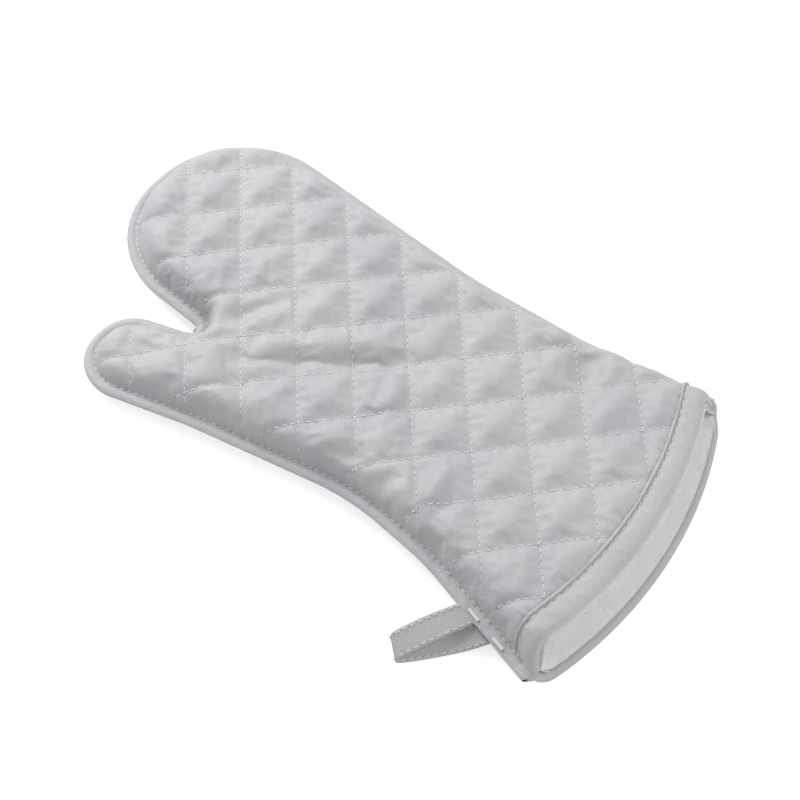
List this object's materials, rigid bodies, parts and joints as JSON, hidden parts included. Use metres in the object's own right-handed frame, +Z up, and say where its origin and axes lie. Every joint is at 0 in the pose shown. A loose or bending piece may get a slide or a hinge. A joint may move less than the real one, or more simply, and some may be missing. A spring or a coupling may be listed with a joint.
{
  "type": "oven mitt",
  "caption": "Quilted padded mitt with a thumb, an open flared cuff bound with tape and a hanging loop, for gripping hot pans.",
  "frame": {"origin": "under the middle of the mitt's bounding box, on the surface it lies on", "axes": "+Y to the fingertips, -X to the thumb, +Z up out of the palm"},
  "size_m": [0.1996, 0.3248, 0.028],
  "materials": {
    "silver_cloth": "satin",
    "silver_tape": "satin",
    "batting": "matte",
    "lining_cotton": "matte",
    "quilting_thread": "satin",
    "edge_thread": "satin"
  },
  "bodies": {
    "hand": {"palm_shell": "silver_cloth", "palm_batting": "batting", "palm_lining": "lining_cotton", "palm_quilting": "quilting_thread", "back_shell": "silver_cloth", "back_batting": "batting", "back_lining": "lining_cotton", "back_quilting": "quilting_thread", "edge_stitching": "edge_thread", "cuff_binding": "silver_tape", "binding_stitching": "edge_thread", "loop_tacks": "edge_thread"},
    "fingers": {"palm_shell_fingers": "silver_cloth", "palm_batting_fingers": "batting", "palm_lining_fingers": "lining_cotton", "palm_quilting_fingers": "quilting_thread", "back_shell_fingers": "silver_cloth", "back_batting_fingers": "batting", "back_lining_fingers": "lining_cotton", "back_quilting_fingers": "quilting_thread", "edge_stitching_fingers": "edge_thread"},
    "thumb": {"palm_shell_thumb": "silver_cloth", "palm_batting_thumb": "batting", "palm_lining_thumb": "lining_cotton", "palm_quilting_thumb": "quilting_thread", "back_shell_thumb": "silver_cloth", "back_batting_thumb": "batting", "back_lining_thumb": "lining_cotton", "back_quilting_thumb": "quilting_thread", "edge_stitching_thumb": "edge_thread"},
    "loop": {"hanging_loop": "silver_tape", "loop_stitching": "edge_thread"}
  },
  "joints": [
    {"name": "fingers_flex", "type": "hinge", "parent": "hand", "child": "fingers", "pos_m": [0.01835, 0.09747, 0.028], "axis": [1, 0, 0], "range_deg": [0, 70], "stiffness_Nm_per_rad": 0.02},
    {"name": "thumb_flex", "type": "hinge", "parent": "hand", "child": "thumb", "pos_m": [-0.03415, 0.08997, 0.028], "axis": [0.6428, 0.766, 0], "range_deg": [0, 60], "stiffness_Nm_per_rad": 0.012},
    {"name": "loop_swing", "type": "hinge", "parent": "hand", "child": "loop", "pos_m": [-0.06345, -0.12016, 0.009], "axis": [0.2445, 0.9696, 0], "range_deg": [-9, 110]}
  ]
}
